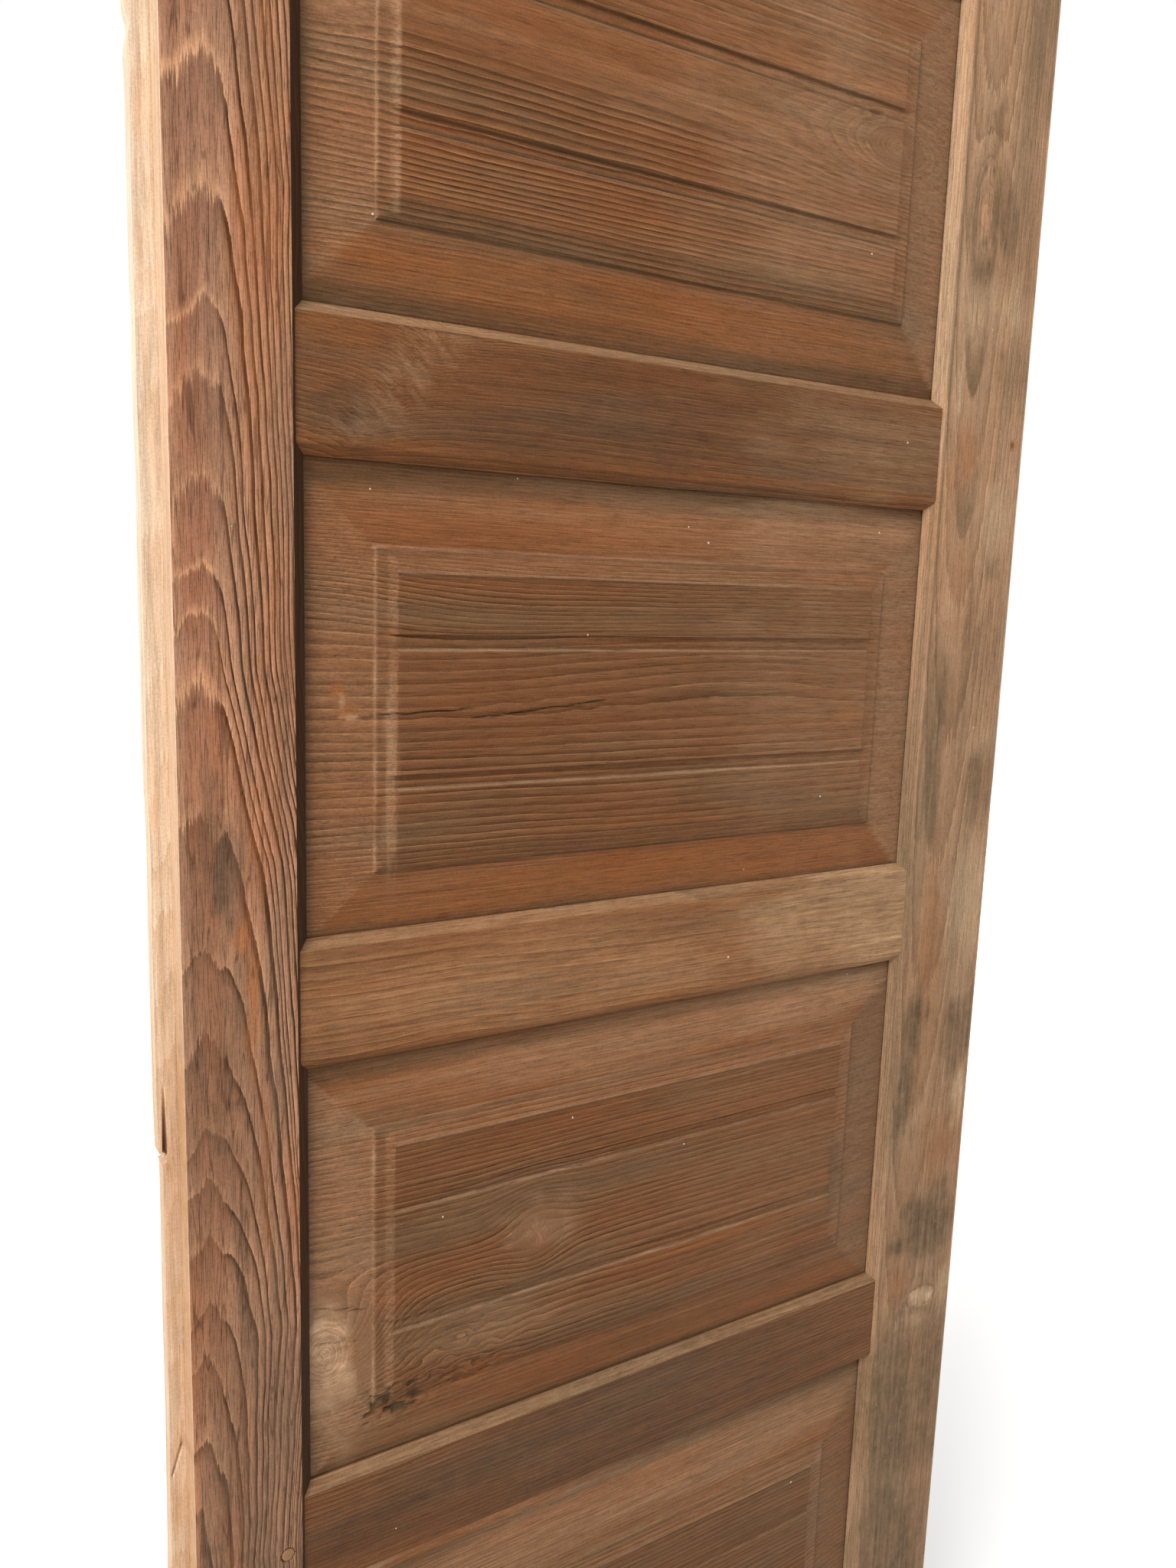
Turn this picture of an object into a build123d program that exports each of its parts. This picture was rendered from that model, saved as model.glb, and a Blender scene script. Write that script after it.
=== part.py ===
"""Panelled front door leaf: two stiles, five rails, four raised panels and one tenon peg.

Millimetres. The front looks toward -Y, +Z is up, and the bottom edge stands on Z 0.
"""
import os

from build123d import *

os.makedirs("parts", exist_ok=True)

# The leaf. Its width is taken over the lip of the closing edge.
leaf_width = 830.0
leaf_height = 2040.0
leaf_thickness = 40.0

# The closing edge is rebated from the front and leaves a lip along the back.
lip_width = 14.0
lip_thickness = 15.0

# Widths of the frame members as they show between their front arrises.
left_face = 81.0
right_face = 110.0
top_face = 112.0
cross_face = 86.0
bottom_face = 190.0

# Four openings between the rails; the lowest is taller than the rest.
panel_count = 4
lowest_opening = 400.0

# Inner edges: the stiles carry a bevel down to the quirk, the rails lie a little lower.
bevel_depth = 10.0
rail_setback = 2.4
quirk = 1.0

# Grooves ploughed round every opening, and the room the shrunken panels have in them.
groove_width = 13.2
groove_depth = 19.0
panel_play = 0.2
panel_side_gap = 5.0
panel_spare = 14.5

# Section of a panel: sloped margin, small step, narrow sloped band, flat field.
margin_width = 65.0
lowest_margin = 85.0
margin_rise = 6.4
field_step = 2.0
band_width = 17.0
band_rise = 2.5

# Two flat flutes run the length of the field, each this share of its height from an edge.
flute_width = 11.0
flute_depth = 2.4
flute_share = 0.245

# How far each panel, from the lowest up, has ridden up in its spare room, as a share of it.
lift_shares = [0, 0.15, 0, 0.95]

# Blind tenons, all of one size; the bottom rail has two at each end.
tenon_length = 59.0
tenon_end_gap = 1.0
tenon_play = 0.1
tenon_height_share = 0.9
single_tenon_shares = [0.5]
double_tenon_shares = [0.25, 0.75]

# The peg that pins the left tenon of the lowest cross rail.
peg_diameter = 10.0
peg_from_shoulder = 21.5

# A sliver has split from the lip and broken away at its lower end.
split_height = 970.0
split_length = 62.0
split_mouth = 2.4
sliver_width = 5.0
notch_height = 7.0

# Places that follow from the sizes above.
half_width = leaf_width / 2
front = -leaf_thickness / 2
back = leaf_thickness / 2
lip_front = back - lip_thickness
left_outer = -half_width + lip_width
left_arris = left_outer + left_face
right_arris = half_width - right_face
left_edge = left_arris + bevel_depth
right_edge = right_arris - bevel_depth
bevel_end = front + bevel_depth
rail_front = front + rail_setback
rail_bevel = bevel_depth - rail_setback
groove_front = bevel_end + quirk
groove_back = groove_front + groove_width
groove_middle = (groove_front + groove_back) / 2
upper_count = panel_count - 1
upper_total = leaf_height - top_face - bottom_face - lowest_opening - cross_face * upper_count
upper_opening = upper_total / upper_count
clear_width = right_edge - left_edge
tenon_height = (cross_face + 2 * rail_bevel - 2 * groove_depth) * tenon_height_share
mortise_depth = tenon_length + tenon_end_gap
mortise_height = tenon_height + 2 * tenon_play
tenon_thickness = groove_width - 2 * tenon_play

# Every rail from the bottom up: name, lower and upper edge of its face, where tenons sit.
rails = [("bottom_rail", 0, bottom_face, double_tenon_shares)]
for number in range(1, panel_count):
    low = bottom_face + lowest_opening + (number - 1) * (upper_opening + cross_face)
    rails.append((f"cross_rail_{number}", low, low + cross_face, single_tenon_shares))
rails.append(("top_rail", leaf_height - top_face, leaf_height, single_tenon_shares))
openings = [(below[2], above[1]) for below, above in zip(rails, rails[1:])]
peg_height = rails[1][1] + cross_face / 2


def rail_span(low, high):
    """Lower and upper end of a rail between its groove floors, or to the leaf's own edge."""
    bottom = low - rail_bevel + groove_depth if low > 0 else low
    top = high + rail_bevel - groove_depth if high < leaf_height else high
    return bottom, top


def tenon_centres(low, high, shares):
    """Heights of the tenon centres of one rail."""
    bottom, top = rail_span(low, high)
    return [bottom + (top - bottom) * share for share in shares]


def cut_stile_joints(edge, inward):
    """Plough the stopped grooves and chop the mortises into the stile that is being built."""
    for low, high in openings:
        groove_height = high - low - 2 * rail_bevel + 2 * groove_depth
        with Locations((edge - inward * groove_depth / 2, groove_middle, (low + high) / 2)):
            Box(groove_depth, groove_width, groove_height, mode=Mode.SUBTRACT)
    for name, low, high, shares in rails:
        for height in tenon_centres(low, high, shares):
            with Locations((edge - inward * mortise_depth / 2, groove_middle, height)):
                Box(mortise_depth, groove_width, mortise_height, mode=Mode.SUBTRACT)


def bore_peg_hole():
    """Bore the peg's hole through the piece that is being built."""
    with Locations(Location((left_edge - peg_from_shoulder, 0, peg_height), (90, 0, 0))):
        Cylinder(peg_diameter / 2, leaf_thickness, mode=Mode.SUBTRACT)


def panel_plane(height, depth):
    """A plane that looks to the front, at a panel's middle."""
    return Plane(((left_edge + right_edge) / 2, depth, height), (1, 0, 0), (0, -1, 0))


# Left stile: bevel on the inner edge, rebate and lip on the outer one.
with BuildPart() as left_stile:
    with BuildSketch(Plane.XY):
        with BuildLine():
            Polyline(
                (left_outer, front),
                (left_arris, front),
                (left_edge, bevel_end),
                (left_edge, back),
                (-half_width, back),
                (-half_width, lip_front),
                (left_outer, lip_front),
                close=True,
            )
        make_face()
    extrude(amount=leaf_height)
    cut_stile_joints(left_edge, 1)
    bore_peg_hole()
    with BuildSketch(Plane.XZ.offset(-back)):
        with BuildLine():
            Polyline(
                (-half_width, split_height),
                (-half_width, split_height + notch_height),
                (-half_width + sliver_width - split_mouth, split_height + notch_height),
                (-half_width + sliver_width, split_height + split_length),
                (-half_width + sliver_width, split_height),
                close=True,
            )
        make_face()
    extrude(amount=lip_thickness, mode=Mode.SUBTRACT)
left_stile.part.label = "left_stile"
export_step(left_stile.part, "parts/left_stile.step")

# Right stile: the same bevel, and a square outer edge to hang the leaf from.
with BuildPart() as right_stile:
    with BuildSketch(Plane.XY):
        with BuildLine():
            Polyline(
                (half_width, front),
                (half_width, back),
                (right_edge, back),
                (right_edge, bevel_end),
                (right_arris, front),
                close=True,
            )
        make_face()
    extrude(amount=leaf_height)
    cut_stile_joints(right_edge, -1)
right_stile.part.label = "right_stile"
export_step(right_stile.part, "parts/right_stile.step")

# Rails: bevelled toward each opening, grooved, coped over the stiles' bevels, with blind tenons.
for name, low, high, shares in rails:
    with BuildPart() as rail:
        lower_edge = low - rail_bevel if low > 0 else low
        upper_edge = high + rail_bevel if high < leaf_height else high
        with BuildSketch(Plane.YZ.offset(left_arris)):
            with BuildLine():
                corners = [(rail_front, low)]
                if low > 0:
                    corners.append((bevel_end, lower_edge))
                corners.append((back, lower_edge))
                corners.append((back, upper_edge))
                if high < leaf_height:
                    corners.append((bevel_end, upper_edge))
                corners.append((rail_front, high))
                Polyline(*corners, close=True)
            make_face()
        extrude(amount=right_arris - left_arris)
        middle = (left_arris + right_arris) / 2
        if low > 0:
            with Locations((middle, groove_middle, lower_edge + groove_depth / 2)):
                Box(right_arris - left_arris, groove_width, groove_depth, mode=Mode.SUBTRACT)
        if high < leaf_height:
            with Locations((middle, groove_middle, upper_edge - groove_depth / 2)):
                Box(right_arris - left_arris, groove_width, groove_depth, mode=Mode.SUBTRACT)
        with BuildSketch(Plane.XY):
            for arris, edge in ((left_arris, left_edge), (right_arris, right_edge)):
                with BuildLine():
                    Polyline((arris, front), (edge, bevel_end), (edge, back), (arris, back), close=True)
                make_face()
        extrude(amount=leaf_height, mode=Mode.SUBTRACT)
        for height in tenon_centres(low, high, shares):
            for edge, inward in ((left_edge, 1), (right_edge, -1)):
                with Locations((edge - inward * tenon_length / 2, groove_middle, height)):
                    Box(tenon_length, tenon_thickness, tenon_height)
        if low <= peg_height <= high:
            bore_peg_hole()
    rail.part.label = name
    export_step(rail.part, f"parts/{name}.step")

# Panels: free at the sides and above, standing in the groove below or ridden up from its floor.
panel_wide = clear_width + 2 * groove_depth - 2 * panel_side_gap
field_wide = panel_wide - 2 * margin_width
inner_wide = field_wide - 2 * band_width
panel_back = groove_back - panel_play
tongue_front = groove_front + panel_play + margin_rise * groove_depth / margin_width
margin_front = tongue_front - margin_rise
step_front = margin_front - field_step
field_front = step_front - band_rise
for number, (low, high) in enumerate(openings, start=1):
    panel_high = high - low - 2 * rail_bevel + 2 * groove_depth - panel_spare
    margin_high = lowest_margin if number == 1 else margin_width
    field_high = panel_high - 2 * margin_high
    inner_high = field_high - 2 * band_width
    lift = panel_spare * lift_shares[number - 1]
    centre = low + rail_bevel - groove_depth + panel_high / 2 + lift
    with BuildPart() as panel:
        with BuildSketch(panel_plane(centre, panel_back)):
            Rectangle(panel_wide, panel_high)
        extrude(amount=panel_back - tongue_front)
        with BuildSketch(panel_plane(centre, tongue_front)):
            Rectangle(panel_wide, panel_high)
        with BuildSketch(panel_plane(centre, margin_front)):
            Rectangle(field_wide, field_high)
        loft()
        with BuildSketch(panel_plane(centre, margin_front)):
            Rectangle(field_wide, field_high)
        extrude(amount=field_step)
        with BuildSketch(panel_plane(centre, step_front)):
            Rectangle(field_wide, field_high)
        with BuildSketch(panel_plane(centre, field_front)):
            Rectangle(inner_wide, inner_high)
        loft()
        for share in (flute_share, 1 - flute_share):
            height = centre + (share - 1 / 2) * inner_high
            with Locations(((left_edge + right_edge) / 2, field_front + flute_depth / 2, height)):
                Box(field_wide, flute_depth, flute_width, mode=Mode.SUBTRACT)
    panel.part.label = f"panel_{number}"
    export_step(panel.part, f"parts/panel_{number}.step")

# Tenon peg: round, driven through from front to back.
with BuildPart() as tenon_peg:
    with Locations(Location((left_edge - peg_from_shoulder, 0, peg_height), (90, 0, 0))):
        Cylinder(peg_diameter / 2, leaf_thickness)
tenon_peg.part.label = "tenon_peg"
export_step(tenon_peg.part, "parts/tenon_peg.step")
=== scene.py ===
"""An old pine door leaf: two stiles, five rails and four raised panels, stained brown and worn.

Every board is in millimetres while it is shaped: along its grain, across its face, and deep from the
front of the stiles. It becomes metres when it is set in the leaf.
"""
import math

import bpy
import numpy as np
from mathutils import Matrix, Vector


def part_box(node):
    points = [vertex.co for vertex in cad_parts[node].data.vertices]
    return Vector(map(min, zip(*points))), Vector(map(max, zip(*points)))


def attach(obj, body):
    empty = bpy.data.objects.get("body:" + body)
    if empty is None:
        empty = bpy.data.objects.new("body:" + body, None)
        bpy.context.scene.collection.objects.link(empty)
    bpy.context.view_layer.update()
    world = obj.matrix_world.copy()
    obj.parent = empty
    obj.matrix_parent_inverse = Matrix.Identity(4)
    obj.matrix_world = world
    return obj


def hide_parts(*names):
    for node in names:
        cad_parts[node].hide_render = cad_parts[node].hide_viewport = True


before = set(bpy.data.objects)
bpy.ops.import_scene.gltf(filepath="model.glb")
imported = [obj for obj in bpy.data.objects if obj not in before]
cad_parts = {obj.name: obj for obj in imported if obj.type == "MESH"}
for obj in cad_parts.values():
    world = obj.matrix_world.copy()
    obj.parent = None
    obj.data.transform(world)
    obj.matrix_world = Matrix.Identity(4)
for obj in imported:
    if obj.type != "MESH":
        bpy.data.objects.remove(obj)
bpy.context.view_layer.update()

# Left stile: the closing upright, a flat-sawn pine board 40 mm thick, stained on its face alone.
# Its outer edge is rebated to a thin lip of raw wood, split and chipped by use. Its inner edge is
# bevelled towards the panels and grooved for them, and the rails are tenoned into it.
front = -20.0
stile_low, stile_high = 0.0, 2040.0
lip_edge, left_arris, left_inner, left_edge = -415.0, -401.0, -320.0, -310.0
rebate_depth, thickness = 25.0, 40.0
bevel = 10.0
groove_front, groove_back, groove_floor = 11.0, 24.2, 19.0
groove_low, groove_high, groove_end = 160.0, 1960.0, 4.0
# The zones of a board's surface, and the channels of its marks: dirt and painted shade, cleaner glowing wood,
# rubbed wood and painted highlights, and how crisp its ring lines are. The back has a quarter of the front's
# stains.
face, slope, inside, back, raw_side, raw_lip = range(6)
dirt_and_shade, glow, rub_and_highlight, crisp = range(4)
back_share = 0.25


def drift(u, v, seed):
    """A smooth wander between -1 and 1, about one swing for each unit of u and of v."""
    table = np.random.default_rng(seed).uniform(-1, 1, (128, 128))
    i = np.floor(u).astype(int)
    j = np.floor(v).astype(int)
    f = u - i
    g = v - j
    f = f * f * (3 - 2 * f)
    g = g * g * (3 - 2 * g)
    low = table[i % 128, j % 128] * (1 - f) + table[(i + 1) % 128, j % 128] * f
    high = table[i % 128, (j + 1) % 128] * (1 - f) + table[(i + 1) % 128, (j + 1) % 128] * f
    return low * (1 - g) + high * g


def unit(values):
    """Values held between 0 and 1."""
    return np.clip(values, 0, 1)


def outline(corners):
    """Points round a board's section, from its corners: across, deep, the gap to keep, the face begun."""
    points = []
    for here, there in zip(corners, corners[1:] + corners[:1]):
        steps = max(1, math.ceil(math.dist(here[:2], there[:2]) / here[2]))
        for step in range(steps):
            share = step / steps
            across = here[0] + (there[0] - here[0]) * share
            deep = here[1] + (there[1] - here[1]) * share
            points.append((across, deep, here[3]))
    return np.array(points)


def lay_sheet(name, section, stations):
    """A flat grid to wrap round a board: a row for each point of its section, a column for each station."""
    bpy.ops.object.select_all(action="DESELECT")
    bpy.ops.mesh.primitive_grid_add(x_subdivisions=len(stations) - 1, y_subdivisions=len(section), size=2)
    board = bpy.context.object
    board.name = name
    mesh = board.data
    mesh.name = name
    flat = np.empty(len(mesh.vertices) * 3)
    mesh.vertices.foreach_get("co", flat)
    flat = flat.reshape(-1, 3)
    column = np.rint((flat[:, 0] + 1) / 2 * (len(stations) - 1)).astype(int)
    row = np.rint((flat[:, 1] + 1) / 2 * len(section)).astype(int) % len(section)
    middles = np.empty(len(mesh.polygons) * 3)
    mesh.polygons.foreach_get("center", middles)
    face_row = np.floor((middles.reshape(-1, 3)[:, 1] + 1) / 2 * len(section)).astype(int)
    across, deep, zone = section[row].T
    return board, column, face_row, across, deep, zone


def write_wood(mesh, wood):
    """Writes a board's wood into its mesh: a value for each of its points."""
    kinds = {"grain": ("FLOAT_VECTOR", "vector"), "ring": ("FLOAT", "value"), "space": ("FLOAT", "value"),
             "marks": ("FLOAT_COLOR", "color"), "knot": ("FLOAT", "value")}
    for label, values in wood.items():
        kind, field = kinds[label]
        layer = mesh.attributes.new(label, kind, "POINT")
        layer.data.foreach_set(field, values.astype(np.float32).ravel())


def close_board(board, place, wood, crease):
    """Wraps the sheet round the board, writes its wood into it, and closes its seam and both ends."""
    board.data.vertices.foreach_set("co", (place / 1000).ravel())
    write_wood(board.data, wood)
    bpy.ops.object.mode_set(mode="EDIT")
    bpy.ops.mesh.select_all(action="SELECT")
    bpy.ops.mesh.remove_doubles(threshold=1e-7)
    bpy.ops.mesh.fill_holes(sides=0)
    bpy.ops.mesh.select_all(action="SELECT")
    bpy.ops.mesh.normals_make_consistent(inside=False)
    bpy.ops.object.mode_set(mode="OBJECT")
    bpy.ops.object.shade_smooth_by_angle(angle=math.radians(crease))


def spread_marks(along, across, spots, seed):
    """Stains and painted highlights: each spot has its channel, its middle along and across, its half lengths
    and its strength.
    """
    marks = np.zeros((len(along), 4))
    marks[:, crisp] = 1
    for number, (channel, at, up, long, wide, strength) in enumerate(spots):
        away = ((along - at) / long) ** 2 + ((across - up) / wide) ** 2
        ragged = drift(along / (0.35 * long), across / (0.35 * wide), seed + number)
        cover = strength * np.exp(-np.maximum(away * (1 + 0.5 * ragged) + 0.25 * ragged, 0) ** 1.5)
        if min(long, wide) > 10:
            cover = cover * (0.94 + 0.26 * drift(along / 70, across / 2.6, seed + 90 + number))
        lay_mark(marks, channel, cover)
    return marks


def lay_mark(marks, channel, cover):
    """Adds a mark where it is stronger than what is there: a stain, dirt or wear, and also painted light and
    shade.
    """
    marks[:, channel] = np.maximum(marks[:, channel], cover)


def linear(shade):
    """A colour for a shader socket, from its sRGB hex value."""
    parts = [int(shade[i:i + 2], 16) / 255 for i in (1, 3, 5)]
    return [p / 12.92 if p <= 0.04045 else ((p + 0.055) / 1.055) ** 2.4 for p in parts] + [1]


def add_node(tree, kind, settings, inputs):
    """One shader node with its settings, its constants and its links."""
    node = tree.nodes.new("ShaderNode" + kind)
    for name, value in settings.items():
        setattr(node, name, value)
    for socket, value in inputs.items():
        if isinstance(value, bpy.types.NodeSocket):
            tree.links.new(value, node.inputs[socket])
        else:
            node.inputs[socket].default_value = value
    return node


def pine(name, lines, arches, tints, contrast, fray, dust, pores, late=0, checks=1):
    """Flat-sawn pine: pale early wood that darkens to a hard late line, fibres, stains, wear, dust, and
    painted light and shade.
    """
    rust, dull, grime_and_shade, glowing, rubbed_and_lit = tints
    colours = {"data_type": "RGBA"}
    material = bpy.data.materials.new(name)
    material.use_nodes = True
    tree = material.node_tree
    tree.nodes.clear()
    grain = add_node(tree, "Attribute", {"attribute_name": "grain"}, {}).outputs["Vector"]
    ring = add_node(tree, "Attribute", {"attribute_name": "ring"}, {}).outputs["Fac"]
    marks = add_node(tree, "Attribute", {"attribute_name": "marks"}, {})
    lined = marks.outputs["Alpha"]
    knot = add_node(tree, "Attribute", {"attribute_name": "knot"}, {}).outputs["Fac"]
    object_place = add_node(tree, "TexCoord", {}, {}).outputs["Object"]
    # Noise drawn out along the grain, by its length and width in mm: bundles of fibres with finer ones in
    # them, streaks in which the ring lines are stronger or fainter, runs as the stain took, pores, checks.
    noise = {}
    for label, long, wide, detail, roughness in (
            ("fibre", 40, 1.6, 4, 0.7), ("streak", 160, 5, 3, 0.5), ("run", 260, 45, 4, 0.5),
            ("pore", 16, 0.6, 2, 0.5), ("check", 150, 8, 1, 0.5)):
        drawn = add_node(tree, "Mapping", {}, {"Vector": grain, "Scale": (1 / long, 1 / wide, 1 / wide)})
        noise[label] = add_node(tree, "TexNoise", {}, {
            "Vector": drawn.outputs[0], "Scale": 1, "Detail": detail, "Roughness": roughness}).outputs["Fac"]
    # The fibres fray the ring lines.
    ragged = add_node(tree, "MapRange", {}, {"Value": lined, "To Min": fray[0], "To Max": fray[1]})
    frayed = add_node(tree, "Math", {"operation": "MULTIPLY_ADD"}, {
        0: noise["fibre"], 1: ragged.outputs[0], 2: ring}).outputs[0]
    phase = add_node(tree, "Math", {"operation": "FRACT"}, {0: frayed}).outputs[0]
    year = add_node(tree, "Math", {"operation": "FLOOR"}, {0: frayed}).outputs[0]
    chance = add_node(tree, "TexWhiteNoise", {"noise_dimensions": "1D"}, {"W": year}).outputs["Value"]
    line_phase = phase
    if late:
        # The dark late wood keeps its width in mm, however far apart the cut shows the rings.
        space = add_node(tree, "Attribute", {"attribute_name": "space"}, {}).outputs["Fac"]
        share = add_node(tree, "Math", {"operation": "DIVIDE"}, {0: late, 1: space}).outputs[0]
        share = add_node(tree, "Math", {"operation": "MINIMUM"}, {0: share, 1: 0.28}).outputs[0]
        turn = add_node(tree, "Math", {"operation": "SUBTRACT"}, {0: 1, 1: share}).outputs[0]
        early = add_node(tree, "MapRange", {}, {"Value": phase, "From Max": turn, "To Max": 0.8}).outputs[0]
        rest = add_node(tree, "MapRange", {}, {"Value": phase, "From Min": turn, "To Max": 0.2}).outputs[0]
        line_phase = add_node(tree, "Math", {"operation": "ADD"}, {0: early, 1: rest}).outputs[0]
    cuts = []
    for years, place in ((arches, phase), (lines, line_phase)):
        ramp = add_node(tree, "ValToRGB", {}, {"Fac": place})
        while len(ramp.color_ramp.elements) < len(years):
            ramp.color_ramp.elements.new(0.5)
        for element, (stop, shade) in zip(ramp.color_ramp.elements, years):
            element.position = stop
            element.color = linear(shade)
        cuts.append(ramp.outputs[0])
    # A ring cut steeply shows as a crisp line, one cut at a slant as a broad soft arch, faint in some years.
    faint = add_node(tree, "MapRange", {}, {"Value": chance, "To Min": 0.3, "To Max": 1.1}).outputs[0]
    arched = add_node(tree, "Mix", colours, {
        0: faint, 6: linear(arches[len(arches) // 2][1]), 7: cuts[0]}).outputs[2]
    ringed = add_node(tree, "Mix", colours, {0: lined, 6: arched, 7: cuts[1]}).outputs[2]
    force = add_node(tree, "MapRange", {}, {
        "Value": chance, "To Min": contrast * 0.7, "To Max": contrast * 1.05}).outputs[0]
    uneven = add_node(tree, "MapRange", {}, {
        "Value": noise["streak"], "From Min": 0.3, "From Max": 0.58, "To Min": 0.72}).outputs[0]
    force = add_node(tree, "Math", {"operation": "MULTIPLY"}, {0: force, 1: uneven}).outputs[0]
    wood = add_node(tree, "Mix", colours, {
        0: force, 6: linear(lines[len(lines) // 2][1]), 7: ringed}).outputs[2]
    # The stain took redder in some runs and duller in others.
    for shade, least, most, strength in ((rust, 0.46, 0.68, 0.45), (dull, 0.48, 0.32, 0.5)):
        taken = add_node(tree, "MapRange", {}, {
            "Value": noise["run"], "From Min": least, "From Max": most, "To Max": strength}).outputs[0]
        wood = add_node(tree, "Mix", colours, {0: taken, 6: wood, 7: linear(shade)}).outputs[2]
    # A knot is redder than the wood round it, with its own tight rings.
    knot_year = add_node(tree, "Math", {"operation": "MULTIPLY"}, {0: knot, 1: 5}).outputs[0]
    knot_phase = add_node(tree, "Math", {"operation": "FRACT"}, {0: knot_year}).outputs[0]
    knot_ring = add_node(tree, "Mix", colours, {
        0: knot_phase, 6: linear(glowing), 7: linear(lines[-2][1])}).outputs[2]
    in_knot = add_node(tree, "MapRange", {}, {"Value": knot, "From Max": 0.4, "To Max": 0.4}).outputs[0]
    wood = add_node(tree, "Mix", colours, {0: in_knot, 6: wood, 7: knot_ring}).outputs[2]
    # Stains and painted light lie on it in blotches about 12 mm across: cleaner glowing wood, then dirt and
    # painted shade, then rubbed wood and painted highlights.
    stained = add_node(tree, "SeparateColor", {}, {0: marks.outputs["Color"]})
    blotch = add_node(tree, "TexNoise", {}, {
        "Vector": object_place, "Scale": 1 / 0.012, "Detail": 5, "Roughness": 0.65}).outputs["Fac"]
    blotch = add_node(tree, "Math", {"operation": "ADD"}, {0: blotch, 1: noise["fibre"]}).outputs[0]
    patchy = add_node(tree, "MapRange", {}, {
        "Value": blotch, "From Min": 0.7, "From Max": 1.3, "To Min": 0.65, "To Max": 1.25}).outputs[0]
    for channel, shade in ((glow, glowing), (dirt_and_shade, grime_and_shade), (rub_and_highlight, rubbed_and_lit)):
        cover = add_node(tree, "Math", {"operation": "MULTIPLY", "use_clamp": True}, {
            0: stained.outputs[channel], 1: patchy}).outputs[0]
        wood = add_node(tree, "Mix", colours, {0: cover, 6: wood, 7: linear(shade)}).outputs[2]
    # Each fibre, each streak and each grain of dirt, 1.6 mm across, is a little lighter or darker. Pores and
    # hairline checks are darker.
    grit = add_node(tree, "TexNoise", {}, {
        "Vector": object_place, "Scale": 1 / 0.0016, "Detail": 2}).outputs["Fac"]
    light = add_node(tree, "Math", {"operation": "MULTIPLY_ADD"}, {
        0: noise["streak"], 1: 0.6, 2: noise["fibre"]}).outputs[0]
    light = add_node(tree, "Math", {"operation": "MULTIPLY_ADD"}, {0: grit, 1: 0.6, 2: light}).outputs[0]
    value = add_node(tree, "MapRange", {}, {
        "Value": light, "From Min": 0.7, "From Max": 1.5, "To Min": 0.64, "To Max": 1.36}).outputs[0]
    pore = add_node(tree, "MapRange", {}, {
        "Value": noise["pore"], "From Min": 0.3, "From Max": 0.48, "To Min": pores}).outputs[0]
    swing = add_node(tree, "Math", {"operation": "SUBTRACT"}, {0: noise["check"], 1: 0.5}).outputs[0]
    swing = add_node(tree, "Math", {"operation": "ABSOLUTE"}, {0: swing}).outputs[0]
    check = add_node(tree, "MapRange", {}, {
        "Value": swing, "From Min": 0.004, "From Max": 0.016, "To Min": checks}).outputs[0]
    for darker in (pore, check):
        value = add_node(tree, "Math", {"operation": "MULTIPLY"}, {0: value, 1: darker}).outputs[0]
    wood = add_node(tree, "HueSaturation", {}, {"Value": value, "Color": wood}).outputs[0]
    # Specks of plaster up to 2 mm across, in one place in five on a spacing of about 20 mm.
    specks = add_node(tree, "TexVoronoi", {}, {"Vector": object_place, "Scale": 1 / 0.02})
    lot = add_node(tree, "SeparateColor", {}, {0: specks.outputs["Color"]}).outputs[0]
    size = add_node(tree, "MapRange", {}, {
        "Value": lot, "From Min": 0.8, "To Min": 0, "To Max": 0.055}).outputs[0]
    speck = add_node(tree, "Math", {"operation": "LESS_THAN"}, {
        0: specks.outputs["Distance"], 1: size}).outputs[0]
    speck = add_node(tree, "Math", {"operation": "MULTIPLY"}, {0: speck, 1: dust}).outputs[0]
    wood = add_node(tree, "Mix", colours, {0: speck, 6: wood, 7: linear("#e2cdb4")}).outputs[2]
    # Matt, a little less so on the hard late wood, with the fibres and pores felt as a fine bump.
    rough = add_node(tree, "MapRange", {}, {"Value": phase, "To Min": 0.68, "To Max": 0.55}).outputs[0]
    raised = add_node(tree, "Math", {"operation": "MULTIPLY_ADD"}, {
        0: noise["pore"], 1: 0.6, 2: noise["fibre"]}).outputs[0]
    bump = add_node(tree, "Bump", {}, {"Height": raised, "Strength": 0.5, "Distance": 0.0005}).outputs[0]
    shader = add_node(tree, "BsdfPrincipled", {}, {
        "Base Color": wood, "Roughness": rough, "Normal": bump, "IOR": 1.5, "Specular IOR Level": 0.08})
    add_node(tree, "OutputMaterial", {}, {"Surface": shader.outputs[0]})
    return material


# Ring boundaries cross the stile's heart line at these heights, so that its arches peak there.
arch_heights = [-620, -550, -480, -400, -330, -260, -190, -120, -40, 30, 95, 160, 225, 270, 335, 400, 455,
    520, 575, 640, 705, 770, 833, 877, 935, 978, 1018, 1087, 1150, 1258, 1346, 1375, 1411, 1481, 1540,
    1585, 1671, 1735, 1800, 1870, 1925, 2000, 2060, 2130, 2210, 2270, 2350, 2420, 2480, 2560, 2630, 2700,
    2790, 2860, 2930, 3010, 3100, 3200, 3300, 3400, 3500, 3600, 3700, 3800, 3900, 4000]
section = outline([
    (left_arris, 0, 0.85, face), (left_inner, 0, 1.2, slope), (left_edge, bevel, 1.0, inside),
    (left_edge, groove_front, 7, inside), (left_edge - groove_floor, groove_front, 7, inside),
    (left_edge - groove_floor, groove_back, 7, inside), (left_edge, groove_back, 5, inside),
    (left_edge, thickness, 6, back), (lip_edge, thickness, 4, raw_lip),
    (lip_edge, rebate_depth, 0.7, raw_lip), (left_arris, rebate_depth, 4, raw_side)])
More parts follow.
